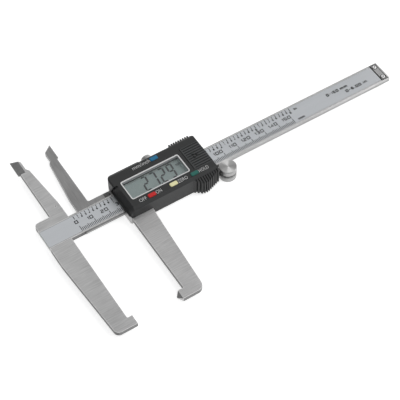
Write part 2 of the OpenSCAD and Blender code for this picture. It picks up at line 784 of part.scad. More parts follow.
// Slope cut into the left end over the beam, with a slanted upper end
module end_scoop() {
    half = housing_w / 2;
    top_s = housing_s + scoop_l;
    intersection() {
        prism_y([[housing_s - 1, scoop_lip_h], [housing_s + 0.6, scoop_lip_h], [top_s, front_z],
            [top_s, front_z + 1], [housing_s - 1, front_z + 1]], -half - 1, half);
        prism_x([[-half - 1, 0], [scoop_reach, 0], [scoop_reach, scoop_lip_h],
            [scoop_reach - 3.2, front_z], [scoop_reach - 3.2, front_z + 1], [-half - 1, front_z + 1]],
            housing_s - 1, top_s + 1);
    }
}

// Plan of the finger grip under the housing's right end, drawn in by a given depth
function grip_outline(d) = rounded([
    [grip_mid_s - grip_left - 2 + d, -housing_w / 2 + 1.6, 0],
    [grip_mid_s - grip_crest + d / 2, -housing_w / 2 - 0.9 * grip_reach + d, 2],
    [grip_mid_s - 0.2 * grip_crest, -housing_w / 2 - grip_reach + d, 3],
    [housing_end_s, -housing_w / 2 - grip_end_reach + d, 0.6],
    [housing_end_s, -housing_w / 2 + 2, 0]]);

// Ribbed finger grip: a swelling with upright ribs between plain ends, sloped at its top
module lower_grip() {
    first_s = grip_mid_s - rib_span / 2;
    intersection() {
        plate(grip_outline(rib_h), -skirt_z, front_z);
        grip_slope(rib_h);
    }
    intersection() {
        plate(grip_outline(0), -skirt_z, front_z);
        union() {
            ribs(grip_mid_s, -grip_edge, 0, -skirt_z, front_z);
            block([first_s - grip_left, -grip_edge, -skirt_z],
                [first_s + rib_w - rib_pitch, 0, front_z]);
            block([first_s + rib_span + rib_pitch - rib_w, -grip_edge, -skirt_z],
                [housing_end_s, 0, front_z]);
        }
        grip_slope(0);
    }
}

// Room under the grip's sloped top, lowered by a given depth
module grip_slope(d) {
    half = housing_w / 2;
    top = front_z - lower_chamfer - d;
    prism_x([[-half + 2, -skirt_z], [-half + 2, top], [-half, top], [-grip_edge, top - 1.9],
        [-grip_edge, -skirt_z]], grip_mid_s - 2 * grip_left, housing_end_s + 1);
}

// Row of upright ribs shared by both grips
module ribs(mid_s, y0, y1, z0, z1) {
    for (i = [0 : rib_count - 1])
        translate([mid_s + (i - (rib_count - 1) / 2) * rib_pitch, 0, 0])
            block([-rib_w / 2, y0, z0], [rib_w / 2, y1, z1]);
}

// Ribs of the upper grip, standing on the finger recess
module upper_grip() {
    top = front_z - upper_chamfer_h - 0.35;
    half = housing_w / 2;
    ribs(upper_grip_s, half - finger_recess - 1, half + 1.4 * rib_h, -skirt_z, top);
}

// Moulded housing: shell, window well, button holes, grips and battery compartment
module housing() {
    color(black_plastic) on_slider() difference() {
        union() {
            difference() {
                union() {
                    difference() {
                        housing_body();
                        block([recess_s, housing_w / 2 - finger_recess, -skirt_z - 1],
                            [recess_end_s, housing_w, front_z + 1]);
                        end_scoop();
                    }
                    lower_grip();
                    upper_grip();
                }
                block([cavity_s0, -cavity_half, -skirt_z - 1], [cavity_s1, cavity_half, panel_z]);
            }
            plate(window_outline(1), well_z, panel_z + 0.1);
            for (s = case_screw_s(), y = case_screw_y())
                rod_z(s, y, boss_d, board_z, panel_z + 0.1);
            battery_cup();
        }
        plate(window_outline(0), well_z - 1, front_z + 1);
        plate(window_outline(window_frame_w), front_z - frame_ring_t, front_z + 1);
        for (p = button_places())
            translate([p[0], p[1], 0]) plate(button_outline(button_gap), 0, front_z + 1);
        passage();
        for (s = case_screw_s(), y = case_screw_y())
            rod_z(s, y, case_screw_d - 0.4 + 2 * slop, board_z - 1, board_z + 4);
        for (s = gib_screw_s())
            rod_y(s, beam_mid_z, gib_screw_d + 0.4, cavity_half - 1, housing_w / 2 + 1);
        rod_y(lock_s, beam_mid_z, lock_d + 0.5, cavity_half - 1, housing_w / 2 + 1);
        door_recess();
    }
}

// Way of the beam, the frame's ends and the moving jaw through the housing's skirt
module passage() {
    block([housing_s - 1, -cavity_half, -skirt_z - 1], [housing_end_s + 1, cavity_half, seat_z + 0.05]);
    block([housing_s - 1, -housing_w / 2 - 1, -skirt_z - 1],
        [jaw_s + moving_root_w + root_gap, -cavity_half + 1, root_top_z + root_gap]);
}

// Cup that holds the cell under its door
module battery_cup() {
    intersection() {
        difference() {
            rod_z(cell_s, 0, cell_d + 2 * cell_gap + 2 * cup_wall, cell_z, panel_z + 0.1);
            rod_z(cell_s, 0, cell_d + 2 * cell_gap, cell_z - 1, front_z + 1);
        }
        block([cavity_s0, -cavity_half, 0], [cavity_s1 + 0.1, cavity_half, front_z]);
    }
}

// Recess, grooves and opening for the battery door
module door_recess() {
    block([door_s - door_gap, -door_w / 2 - door_gap, door_z - door_gap],
        [housing_end_s + 1, door_w / 2 + door_gap, front_z + 1]);
    block([door_s + 1, -door_w / 2 - tongue - door_gap, tongue_z - door_gap],
        [housing_end_s + 1, door_w / 2 + tongue + door_gap, tongue_z + tongue_t + door_gap]);
    rod_z(cell_s, 0, cell_d + 2 * cell_gap, panel_z - 0.5, front_z);
    block([cell_s - cell_d / 2 - 1.2, -contact_strip_w / 2 - 0.2, board_z],
        [cell_s, contact_strip_w / 2 + 0.2, panel_z]);
}

// Sliding battery door with cross ribs and an arrow
module battery_door() {
    pitch = door_w / door_ribs;
    groove_w = 0.7;
    arrow_s = door_s + 4.5;
    arrow_w = 0.65;
    color(black_plastic) on_slider() difference() {
        intersection() {
            union() {
                block([door_s, -door_w / 2, door_z], [housing_end_s + 1, door_w / 2, front_z + 1]);
                block([door_s + 1 + door_gap, -door_w / 2 - tongue, tongue_z],
                    [housing_end_s + 1, door_w / 2 + tongue, tongue_z + tongue_t]);
            }
            housing_body();
        }
        for (i = [0 : door_ribs - 1])
            translate([0, (i - (door_ribs - 1) / 2) * pitch, 0])
                block([door_s + 1.2, -groove_w / 2, front_z - door_groove_d],
                    [housing_end_s + 1, groove_w / 2, front_z + 1]);
        block([door_s - 1, -door_w / 2 - 1, front_z - door_groove_d],
            [door_s + 0.45, door_w / 2 + 1, front_z + 1]);
        difference() {
            plate([[arrow_s, -2.3], [arrow_s + 3.5, 0], [arrow_s, 2.3]],
                front_z - door_groove_d - 0.1, front_z + 1);
            plate([[arrow_s + arrow_w, -2.3 + 1.7 * arrow_w], [arrow_s + 3.5 - 2 * arrow_w, 0],
                [arrow_s + arrow_w, 2.3 - 1.7 * arrow_w]], 0, front_z + 2);
        }
    }
}

// Four screws from the back, through the frame and the board into the housing
module housing_screws() {
    color(steel) on_slider()
        for (s = case_screw_s(), y = case_screw_y()) translate([s, y, 0])
            countersunk_screw(case_screw_d, back_z + screw_sink, board_z + 3.5,
                case_screw_d - 0.4, board_z);
}

// Countersunk screw, head at z0, shank of diameter d up to z_thin and thinner above it
module countersunk_screw(d, z0, z1, thin_d, z_thin) {
    difference() {
        union() {
            translate([0, 0, z0]) cylinder(d = 2 * d - 0.2, h = screw_head_h);
            rod_z(0, 0, d, z0, z_thin);
            rod_z(0, 0, thin_d, z0, z1);
        }
        for (turn = [0, 90])
            rotate([0, 0, turn]) block([-d * 0.6, -0.15, z0 - 1], [d * 0.6, 0.15, z0 + 0.5]);
    }
}

// Outline of a button's cap, or of its hole when grown by the clearance
function button_outline(grow) = rounded_box(-button_l / 2 - grow, -button_w / 2 - grow,
    button_l / 2 + grow, button_w / 2 + grow, 0.7 + grow);

// Button with a retaining flange and a stem over its snap dome
module button_cap() {
    edge_r = 0.3;
    top = front_z + button_rise;
    plate(button_outline(0), button_hold_z - button_flange_t, top - edge_r);
    plate(button_outline(-edge_r * 0.6), top - edge_r, top);
    plate(rounded_box(-button_l / 2 - button_flange, -button_w / 2 - button_flange,
        button_l / 2 + button_flange, button_w / 2 + button_flange, 0.5),
        button_hold_z - button_flange_t, button_hold_z);
    rod_z(0, 0, stem_d, stem_bottom_z, button_hold_z);
}

module units_button() {
    color([0.14, 0.46, 0.61]) on_slider()
        translate([upper_button_s, button_y, 0]) button_cap();
}

module power_button() {
    color([0.77, 0.17, 0.17]) on_slider()
        translate([power_button_s, -button_y, 0]) button_cap();
}

module zero_button() {
    color([0.90, 0.88, 0.67]) on_slider()
        translate([zero_button_s, -button_y, 0]) button_cap();
}

module hold_button() {
    color([0.18, 0.42, 0.38]) on_slider()
        translate([hold_button_s, -button_y, 0]) button_cap();
}

// Button cell: a can with a smaller cap below it
module battery_cell() {
    cap_h = 0.6;
    color(steel) on_slider() translate([cell_s, 0, cell_z])
        rotate_extrude() polygon(rounded([[0, 0, 0], [cell_d / 2 - 1.2, 0, 0.2],
            [cell_d / 2 - 1.2, cap_h, 0], [cell_d / 2, cap_h, 0.3], [cell_d / 2, cell_h, 0.4],
            [0, cell_h, 0]]));
}

// Leaf under the cell, soldered to the board
module battery_contact_minus() {
    rise = cell_z - board_z - 0.05;
    color(bronze) on_slider()
        prism_y([[cell_s - 4, board_z], [cell_s - 2.5, board_z], [cell_s - 1, board_z + rise - contact_t],
            [cell_s + 1, board_z + rise - contact_t], [cell_s + 2.5, board_z], [cell_s + 4, board_z],
            [cell_s + 4, board_z + contact_t], [cell_s + 2.4, board_z + contact_t],
            [cell_s + 1, board_z + rise], [cell_s - 1, board_z + rise],
            [cell_s - 2.4, board_z + contact_t], [cell_s - 4, board_z + contact_t]],
            -contact_strip_w / 2, contact_strip_w / 2);
}

// Upright strip against the cell's side, with a foot on the board
module battery_contact_plus() {
    left = cell_s - cell_d / 2 - 0.05;
    color(bronze) on_slider()
        prism_y([[left - 2, board_z], [left, board_z], [left, panel_z - 0.6],
            [left - contact_t, panel_z - 0.6], [left - contact_t, board_z + contact_t],
            [left - 2, board_z + contact_t]], -contact_strip_w / 2, contact_strip_w / 2);
}

// Upper disc and neck of the thumb roller, turned in one piece
module thumb_roller() {
    r = roller_d / 2;
    neck_r = roller_neck_d / 2;
    spigot_r = spigot_d / 2;
    color(steel) on_slider() translate([roller_s, roller_y, roller_z])
        rotate_extrude() polygon(rounded([
            [0, 0, 0], [spigot_r - slop, 0, 0], [spigot_r - slop, disc_h, 0], [neck_r, disc_h, 0],
            [neck_r, disc_h + roller_groove, 0], [r - 0.2, disc_h + roller_groove, 0],
            [r, disc_h + roller_groove + 0.2, 0], [r, roller_h - 0.35, 0], [r - 0.35, roller_h, 0],
            [0, roller_h, 0]]));
}

// Lower disc pressed on the neck's end
module roller_disc() {
    r = roller_d / 2;
    spigot_r = spigot_d / 2;
    color(steel) on_slider() translate([roller_s, roller_y, roller_z])
        rotate_extrude() polygon([[spigot_r, 0], [r - 0.35, 0], [r, 0.35], [r, disc_h - 0.2],
            [r - 0.2, disc_h], [spigot_r, disc_h]]);
}

// Spring arm whose eye holds the roller's neck and whose tail sits in the frame
module roller_arm() {
    color([0.12, 0.12, 0.12]) on_slider() difference() {
        union() {
            rod_z(roller_s, roller_y, arm_eye_d, arm_z, arm_z + roller_arm_t);
            plate(rounded([[frame_end_s - arm_tail_l, arm_tail_y0, 0],
                [frame_end_s + 0.3, arm_tail_y0, 0],
                [roller_s - 1, roller_y - arm_eye_d / 2 + 0.1, 1],
                [roller_s, roller_y, 0],
                [roller_s - arm_eye_d / 2, roller_y + 1.6, 1],
                [frame_end_s + 0.3, arm_tail_y1, 0],
                [frame_end_s - arm_tail_l, arm_tail_y1, 0]]), arm_z, arm_z + roller_arm_t);
        }
        rod_z(roller_s, roller_y, roller_neck_d + 2 * turn_gap, arm_z - 1, arm_z + roller_arm_t + 1);
        rod_z(arm_screw_s, arm_screw_y, arm_screw_d - 0.2, arm_z - 1, arm_z + roller_arm_t + 1);
    }
}

// Screw from the back that holds the arm's tail
module roller_arm_screw() {
    color(steel) on_slider() translate([arm_screw_s, arm_screw_y, 0])
        countersunk_screw(arm_screw_d, back_z + screw_sink, arm_z + roller_arm_t,
            arm_screw_d - 0.2 - 2 * slop, arm_z - 0.1);
}

beam();
scale_board();
scale_plate();
end_stop();
end_stop_screws();
slider_frame();
gib_strip();
gib_screws();
lock_screw();
main_board();
processor_chip();
switch_domes();
display_strips();
display_panel();
window_lens();
window_frame();
housing();
housing_screws();
units_button();
power_button();
zero_button();
hold_button();
battery_cell();
battery_contact_minus();
battery_contact_plus();
battery_door();
thumb_roller();
roller_disc();
roller_arm();
roller_arm_screw();
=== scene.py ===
"""Looks of a digital gauge for brake discs: ground steel, printed scale, black display housing."""

import json
import math

import bpy
import numpy as np
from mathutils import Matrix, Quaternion, Vector

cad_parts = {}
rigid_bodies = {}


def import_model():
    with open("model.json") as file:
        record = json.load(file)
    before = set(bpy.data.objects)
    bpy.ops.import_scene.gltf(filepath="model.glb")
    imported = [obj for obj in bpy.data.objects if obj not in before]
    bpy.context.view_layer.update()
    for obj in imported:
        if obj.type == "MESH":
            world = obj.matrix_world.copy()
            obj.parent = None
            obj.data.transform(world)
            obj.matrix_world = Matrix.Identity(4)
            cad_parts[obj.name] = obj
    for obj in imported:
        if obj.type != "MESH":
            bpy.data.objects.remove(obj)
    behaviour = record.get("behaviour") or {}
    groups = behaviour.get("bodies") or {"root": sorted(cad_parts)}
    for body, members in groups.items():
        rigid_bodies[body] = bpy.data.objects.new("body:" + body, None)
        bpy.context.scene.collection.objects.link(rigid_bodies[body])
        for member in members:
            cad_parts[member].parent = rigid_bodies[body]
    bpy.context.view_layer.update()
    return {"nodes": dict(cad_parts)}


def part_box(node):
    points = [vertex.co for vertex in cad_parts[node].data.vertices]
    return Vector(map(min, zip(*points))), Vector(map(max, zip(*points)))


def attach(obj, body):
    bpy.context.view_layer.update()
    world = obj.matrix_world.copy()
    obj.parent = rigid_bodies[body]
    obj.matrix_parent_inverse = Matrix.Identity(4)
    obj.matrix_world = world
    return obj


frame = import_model()
nodes = frame["nodes"]

# Camera. The gauge is seen from the left front, 54 degrees above the bench, from 0.78 m away,
# with a long lens. Place, aim and lens were fitted to the marks of the 150 mm scale.
aim = Vector((0.01130, -0.02383, 0.00605))
azimuth = math.radians(-32.497)
elevation = math.radians(53.963)
roll = math.radians(0.05)
away = 0.77794
back = Vector((math.sin(azimuth) * math.cos(elevation),
               -math.cos(azimuth) * math.cos(elevation),
               math.sin(elevation)))
camera = bpy.data.objects.new("camera", bpy.data.cameras.new("camera"))
camera.data.sensor_width = 36.0
camera.data.lens = 119.08
camera.data.clip_start = 0.05
camera.data.clip_end = 20.0
camera.rotation_mode = "QUATERNION"
camera.location = aim + back * away
camera.rotation_quaternion = (-back).to_track_quat("-Z", "Y") @ Quaternion((0, 0, 1), roll)
bpy.context.scene.collection.objects.link(camera)
bpy.context.scene.camera = camera

# Beam with its squared head, upper blade and hooked jaw: one plate of stainless steel, 3 mm thick,
# blanked out and then ground flat, which leaves fine lines along it and slightly broken edges.
MM = 0.001


class Value:
    """A node socket that takes part in sums. Each sum with a number or another Value adds a Math node."""

    def __init__(self, finish, socket):
        self.finish = finish
        self.socket = socket

    def maths(self, operation, *others):
        """The result of a Math node on these values."""
        return self.finish.add("Math", {"operation": operation}, dict(enumerate(others)))

    def __add__(self, other):
        return self.maths("ADD", self, other)

    def __radd__(self, other):
        return self.maths("ADD", other, self)

    def __sub__(self, other):
        return self.maths("SUBTRACT", self, other)

    def __rsub__(self, other):
        return self.maths("SUBTRACT", other, self)

    def __mul__(self, other):
        return self.maths("MULTIPLY", self, other)

    def __rmul__(self, other):
        return self.maths("MULTIPLY", other, self)

    def __gt__(self, other):
        return self.maths("GREATER_THAN", self, other)

    def __lt__(self, other):
        return self.maths("LESS_THAN", self, other)

    def __abs__(self):
        return self.maths("ABSOLUTE", self)

    def sine(self):
        return self.maths("SINE", self)

    def root(self):
        return self.maths("SQRT", self)


class Nodes:
    """A node tree. Its nodes come from add(), by type, settings and the values or links of sockets."""

    def __init__(self, tree):
        self.tree = tree

    def add(self, kind, settings=None, inputs=None, output=0):
        """One output of a new node, by its number or name."""
        node = self.tree.nodes.new("ShaderNode" + kind)
        for key, value in (settings or {}).items():
            setattr(node, key, value)
        for key, value in (inputs or {}).items():
            self.join(node.inputs[key], value)
        return Value(self, node.outputs[output])

    def join(self, socket, value):
        """Links a Value to a socket, or sets a number, vector or colour on it."""
        if isinstance(value, Value):
            self.tree.links.new(value.socket, socket)
        else:
            socket.default_value = (*value, 1.0) if socket.type == "RGBA" else value

    def parts(self, vector):
        """The three coordinates of a vector."""
        node = self.add("SeparateXYZ", inputs={0: vector}).socket.node
        return [Value(self, output) for output in node.outputs]

    def rise(self, value, low, high, start=0.0, end=1.0):
        """A smooth change from start to end while a value goes from low to high."""
        return self.add("MapRange", {"interpolation_type": "SMOOTHSTEP"},
                        {0: value, 1: low, 2: high, 3: start, 4: end})

    def scaled(self, colour, factor):
        """A colour times a factor."""
        return self.add("VectorMath", {"operation": "SCALE"}, {0: colour, "Scale": factor})

    def tint(self, factor, dark, light):
        """A colour between two, by a factor from 0 to 1: dark + (light - dark) * factor."""
        return self.add("Mix", {"data_type": "RGBA"}, {0: factor, 6: dark, 7: light}, output=2)


class Finish(Nodes):
    """One material. Even values are set on its shader's sockets, varying ones are fed to them."""

    sockets = {"base_color": "Base Color", "metallic": "Metallic", "roughness": "Roughness",
               "specular": "Specular IOR Level", "alpha": "Alpha", "ior": "IOR",
               "anisotropy": "Anisotropic", "turn": "Anisotropic Rotation"}

    def __init__(self, name, **even):
        self.material = bpy.data.materials.new(name)
        self.material.use_nodes = True
        super().__init__(self.material.node_tree)
        self.shader = self.tree.nodes["Principled BSDF"]
        for key, value in even.items():
            self.feed(self.sockets[key], value)

    def feed(self, socket, value):
        """Gives a value to a socket of the shader."""
        self.join(self.shader.inputs[socket], value)

    def place(self):
        """The point on the piece in millimetres, as a vector, in the row frame."""
        metres = self.add("TexCoord", output="Object")
        return self.add("VectorMath", {"operation": "SCALE"}, {0: metres, "Scale": 1 / MM})

    def noise(self, place, scale, detail=2.0, roughness=0.5):
        """Noise around 0.5 with its own scale along each axis, in cycles per millimetre."""
        stretched = self.add("VectorMath", {"operation": "MULTIPLY"}, {0: place, 1: scale})
        return self.add("TexNoise", inputs={"Vector": stretched, "Scale": 1.0, "Detail": detail,
                                            "Roughness": roughness})

    def rounded_edges(self, radius):
        """Normals that round the solid's sharp edges by that radius in millimetres."""
        return self.add("Bevel", {"samples": 4}, {"Radius": radius * MM})

    # Mask for the painted highlight that grind() colours along edges.
    def worn_edges(self, radius):
        """Up to 0.3 along the edges of faces that look up, and 0 elsewhere: 1 minus the dot product of
        the face's normal and the normal rounded by that radius in millimetres."""
        normal = self.add("NewGeometry", output="Normal")
        alike = self.add("VectorMath", {"operation": "DOT_PRODUCT"},
                         {0: normal, 1: self.rounded_edges(radius)}, output="Value")
        return (1.0 - alike) * (self.parts(normal)[2] > 0.9)

    def bump(self, height, depth, normal):
        """Normals from a height field whose full range is that depth in millimetres."""
        return self.add("Bump", inputs={"Height": height, "Distance": depth * MM, "Strength": 1.0,
                                        "Normal": normal})


def dress(finish, *names):
    """Gives CAD nodes one material."""
    for name in names:
        mesh = nodes[name].data
        mesh.materials.clear()
        mesh.materials.append(finish.material)


def grind(steel, colour, roughness, shade=1.0, crosswise=None):
    """Grinding lines along X, or along Y where crosswise is 1. Tone is 1 plus each noise less 0.5 times
    its contrast, for fine lines, broad lines and clouds, and edges get a bright painted highlight."""
    fine_contrast, broad_contrast, cloud_contrast = 0.42, 0.7, 0.3
    fine_gloss, cloud_gloss = 0.12, 0.1
    line_depth, edge_radius = 0.004, 0.12
    highlight_colour, highlight_radius, full_highlight = (0.95, 0.95, 0.95), 0.8, 0.06
    place = steel.place()
    fine = steel.noise(place, (0.12, 9.0, 9.0), 3.0, 0.6)
    broad = steel.noise(place, (0.08, 1.3, 1.3), 4.0, 0.7)
    if crosswise is not None:
        fine = fine + (steel.noise(place, (9.0, 0.12, 9.0), 3.0, 0.6) - fine) * crosswise
        broad = broad + (steel.noise(place, (1.3, 0.08, 1.3), 4.0, 0.7) - broad) * crosswise
    clouds = steel.noise(place, (0.05, 0.05, 0.05))
    tone = ((fine - 0.5) * fine_contrast + (broad - 0.5) * broad_contrast
            + (clouds - 0.5) * cloud_contrast + 1.0)
    # Painted highlight: edges of faces that look up are coloured near white.
    edge_highlight = steel.rise(steel.worn_edges(highlight_radius), 0.0, full_highlight)
    steel.feed("Base Color", steel.tint(edge_highlight, steel.scaled(colour, tone * shade), highlight_colour))
    steel.feed("Roughness", (fine - 0.5) * fine_gloss + (clouds - 0.5) * cloud_gloss + roughness)
    steel.feed("Normal", steel.bump(fine, line_depth, steel.rounded_edges(edge_radius)))


plate_low, plate_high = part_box("scale_plate")
zero_x = plate_low.x / MM + 22.0
face_z = plate_high.z / MM
beam_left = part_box("beam")[0].x / MM
stop_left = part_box("end_stop")[0].x / MM
half_width, rail_reach, groove_reach = 8.0, 6.0, 7.3
wedge_low = 49.0
rail_dark, upper_rail_darker = 0.24, 0.2
# Painted shade on side faces: how much darker they are, and the extra where they face left.
painted_side_shade, painted_left_side_shade = 0.6, 0.12
# Strengths of painted shade on the bevels, the relief wall and the groove.
painted_bevel_shade, painted_relief_shade, painted_groove_shade = 0.1, 0.62, 0.85
beam_steel = Finish("beam_steel", metallic=1.0)
x, y, z = beam_steel.parts(beam_steel.place())
normal_x, normal_y, normal_z = beam_steel.parts(beam_steel.add("NewGeometry", output="Normal"))
# Masks: the rails beside the pocket, the side faces below the blade's wedge, the bevels of the
# guiding edges, the wall of the relief beside the fixed jaw, and the groove before the end stop.
# Reach is the distance from the beam's middle line.
reach = abs(y)
rails = (beam_steel.rise(reach, half_width + 0.1, half_width)
         * beam_steel.rise(reach, rail_reach, rail_reach + 0.1)
         * (x > zero_x - 2.0) * ((y > 0.0) * upper_rail_darker + rail_dark))
# Painted shade: the side faces are coloured darker, and darker still where they face left.
sides = ((reach > half_width + 0.1) * (y < wedge_low) * (z < face_z - 0.12)
         * ((normal_x < -0.5) * painted_left_side_shade + painted_side_shade))
# Painted shade: the bevels of the guiding edges are coloured a little darker.
bevels = (reach > 7.6) * (reach < half_width + 0.1) * (z < face_z - 0.02) * (x > zero_x)
# Painted shade on the wall of the relief beside the fixed jaw.
relief = (y < -7.1) * (y > -7.35) * (x > beam_left + 6.0) * (x < zero_x + 3.0) * (z < face_z - 0.1)
# Painted shade in the groove between the plate's end and the end stop.
groove = (x > plate_high.x / MM) * (x < stop_left) * (reach < groove_reach) * (z < face_z - 0.1)
# Painted reflection on the lower bevel: darker on the left, brighter towards the right end.
lower_bevel_reflection = ((normal_y < -0.3) * (normal_z > 0.3)
               * beam_steel.rise(x, zero_x + 25.0, zero_x + 60.0, -0.4, 0.08))
grind(beam_steel, (0.56, 0.56, 0.56), 0.36,
      (1.0 - rails) * (1.0 - sides) * (1.0 - bevels * painted_bevel_shade) * (1.0 - relief * painted_relief_shade)
      * (1.0 - groove * painted_groove_shade) * (lower_bevel_reflection + 1.0))
dress(beam_steel, "beam")

# Graduated plate: satin metal foil that covers the sensing strip in the beam's pocket. It is
# rolled, which leaves a fine grain along it, and glued in flush with the beam's face.
foil = Finish("scale_foil", metallic=1.0)
foil_place = foil.place()
foil_grain = foil.noise(foil_place, (0.8, 6.0, 1.0), 3.0)
foil_clouds = foil.noise(foil_place, (0.02, 0.2, 0.1))
grain_contrast, cloud_contrast = 0.6, 0.8
foil_tone = foil.tint((foil_grain - 0.5) * grain_contrast + (foil_clouds - 0.5) * cloud_contrast + 0.5,
                      (0.56, 0.58, 0.605), (0.66, 0.68, 0.705))
zero_level, end_level = 1.05, 0.88
foil_fall = foil.rise(foil.parts(foil_place)[0], zero_x, zero_x + 210.0, zero_level, end_level)
foil.feed("Base Color", foil.scaled(foil_tone, foil_fall))
foil.feed("Roughness", (foil_grain - 0.5) * 0.1 + 0.42)
dress(foil, "scale_plate")


# Sensing strip: a thin circuit board under the plate, whose copper fields the slider reads.
# It is lacquered green and lies on the bottom of the pocket.
def mottled(name, spots, dark, light, detail=2.0, **even):
    """Paint, ink or lacquer that wanders between two colours: noise of so many cycles per millimetre."""
    coat = Finish(name, **even)
    patches = coat.noise(coat.place(), (spots, spots, spots), detail)
    coat.feed("Base Color", coat.tint(patches, dark, light))
    return coat


sensor = mottled("sensor_lacquer", 1.0, (0.02, 0.09, 0.045), (0.04, 0.14, 0.07), roughness=0.5)
dress(sensor, "scale_board")


# Scale: black ink printed on the plate. Millimetres stand along its lower edge and tenths of an
# inch along its upper edge, and the two measuring ranges stand near the free end.
def piece(name, points, faces, finish, body, slot):
    """A new piece from points in millimetres and its faces, riding on a body."""
    mesh = bpy.data.meshes.new(name)
    mesh.from_pydata(np.asarray(points) * MM, [], faces)
    mesh.validate()
    mesh.materials.append(finish.material)
    made = bpy.data.objects.new(name, mesh)
    bpy.context.scene.collection.objects.link(made)
    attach(made, body)


def slabs(outlines, low, high):
    """Flat slabs, one for each outline: the same corners at two heights, a side face for each edge."""
    outlines = np.asarray(outlines, float)
    count, corners = outlines.shape[:2]
    level = np.ones((count, corners, 1))
    points = np.concatenate([np.concatenate([outlines, level * low], 2),
                             np.concatenate([outlines, level * high], 2)], 1).reshape(-1, 3)
    first = (np.arange(count) * 2 * corners)[:, None]
    ring = np.arange(corners)
    after = (ring + 1) % corners
    walls = np.stack([ring, after, after + corners, ring + corners], 1)
    faces = (list(first + ring[::-1]) + list(first + ring + corners)
             + list((first[:, :, None] + walls[None]).reshape(-1, 4)))
    return points, faces


def bars(left, right, low, high):
    """Corners of upright rectangles from arrays of their four sides, anticlockwise."""
    left, right, low, high = np.broadcast_arrays(*np.atleast_1d(left, right, low, high))
    return np.stack([np.stack([left, low], 1), np.stack([right, low], 1),
                     np.stack([right, high], 1), np.stack([left, high], 1)], 1)


def ribbon(path, wide):
    """A line of points drawn with a width: quads whose ends are mitred, (a + b) / (1 + a.b) from the
    sides a and b of two neighbouring stretches. A line that ends where it starts is closed."""
    path = np.asarray(path, float)
    run = np.diff(path, axis=0)
    side = np.stack([-run[:, 1], run[:, 0]], 1) / np.linalg.norm(run, axis=1, keepdims=True)
    closed = np.allclose(path[0], path[-1])
    before = np.vstack([side[-1] if closed else side[0], side])
    after = np.vstack([side, side[0] if closed else side[-1]])
    mitre = (before + after) / np.maximum(1 + (before * after).sum(1, keepdims=True), 0.5) * wide / 2
    left, right = path + mitre, path - mitre
    return np.stack([right[:-1], right[1:], left[1:], left[:-1]], 1)


# Each figure's lines, as corners on a grid from 00 at its lower left to 44 at its upper right.
FIGURES = {"0": "00 40 44 04 00", "1": "03 44 40", "2": "04 34 43 32 12 01 00 40",
           "3": "04 34 43 32 41 30 00, 12 32", "4": "30 34 01 41", "5": "44 04 02 32 41 30 00",
           "6": "44 14 03 01 10 30 41 32 02", "7": "04 44 10",
           "8": "12 03 14 34 43 32 12, 12 01 10 30 41 32", "9": "00 30 41 43 34 14 03 12 42",
           "-": "02 42", ".": "20 21", " ": "", "i": "20 22, 23 24", "n": "00 03 33 42 40",
           "m": "00 03 33 42 40, 23 20"}
SET_WIDTHS = {"1": 0.45, "-": 0.7, ".": 0.25, " ": 0.3, "i": 0.25, "m": 1.4}


def number(text, right, low, size, wide):
    """Engraver's figures that end at X right: their lines on the grid, stretched to a size and drawn
    that wide, with a gap of 0.42 mm between figures."""
    gap = 0.42
    drawn = []
    for figure in reversed(text):
        reach = np.array([size[0] * SET_WIDTHS.get(figure, 1.0), size[1]]) - wide
        reach = np.maximum(reach, 0.0)
        start = np.array([right - wide / 2 - reach[0], low + wide / 2])
        for line in filter(None, FIGURES[figure].split(", ")):
            path = np.array([[int(c) for c in corner] for corner in line.split()]) / 4
            drawn.append(ribbon(start + path * reach, wide))
        right = start[0] - wide / 2 - gap
    return np.concatenate(drawn)


def letters(words, box, low, high, bold):
    """Printed words as thin slabs: the plain letter outlines, stretched to fill a box of x0, y0, x1, y1."""
    curve = bpy.data.curves.new("words", "FONT")
    curve.body = words
    curve.extrude = 0.5
    curve.resolution_u = 3
    curve.offset = bold
    holder = bpy.data.objects.new("words", curve)
    mesh = bpy.data.meshes.new_from_object(holder)
    points = np.empty(len(mesh.vertices) * 3)
    mesh.vertices.foreach_get("co", points)
    points = points.reshape(-1, 3)
    corners = np.empty(len(mesh.loops), int)
    mesh.loops.foreach_get("vertex_index", corners)
    starts = np.empty(len(mesh.polygons), int)
    mesh.polygons.foreach_get("loop_start", starts)
    faces = np.split(corners, starts[1:])
    for made in (holder, curve, mesh):
        bpy.data.batch_remove([made])
    unit = (points - points.min(0)) / np.ptp(points, 0)
    start = np.array([box[0], box[1], low])
    return start + unit * (np.array([box[2], box[3], high]) - start), faces


def together(parts):
    """Joins several sets of points and faces into one."""
    starts = np.cumsum([0] + [len(p) for p, _ in parts[:-1]])
    points = np.concatenate([p for p, _ in parts])
    return points, [list(np.asarray(f) + s) for s, (_, faces) in zip(starts, parts) for f in faces]


ink = mottled("scale_ink", 2.0, (0.005, 0.005, 0.005), (0.015, 0.015, 0.015), 3.0,
              roughness=0.6, specular=0.2)
film = 0.012
inch, tenth = 25.4, 2.54
mark_half, mark_end = 0.2, 5.9
large, small, middling, text_tall = (2.2, 2.4), (1.05, 1.45), (1.3, 1.7), 2.2
large_foot, small_foot, middling_foot = -1.2, 2.75, 1.6
step = np.arange(151)
step_x = zero_x + step
step_tops = np.where(step % 10 == 0, -2.0, np.where(step % 5 == 0, -2.9, -3.6))
fraction = np.arange(61)
fraction_x = zero_x + fraction * tenth
fraction_feet = np.where(fraction % 10 == 0, 3.4, 4.4)
marks = [bars(step_x - mark_half, step_x + mark_half, -mark_end, step_tops),
         bars(fraction_x - mark_half, fraction_x + mark_half, fraction_feet, mark_end)]
marks += [number(str(n), zero_x + n + 0.15, large_foot, large, 0.5) for n in range(10, 151, 10)]
marks += [number("0", zero_x + 0.9, 0.1, large, 0.55)]
marks += [number(str(n % 10), zero_x + n * tenth + 0.2, small_foot, small, 0.4)
          for n in range(1, 60) if n % 10]
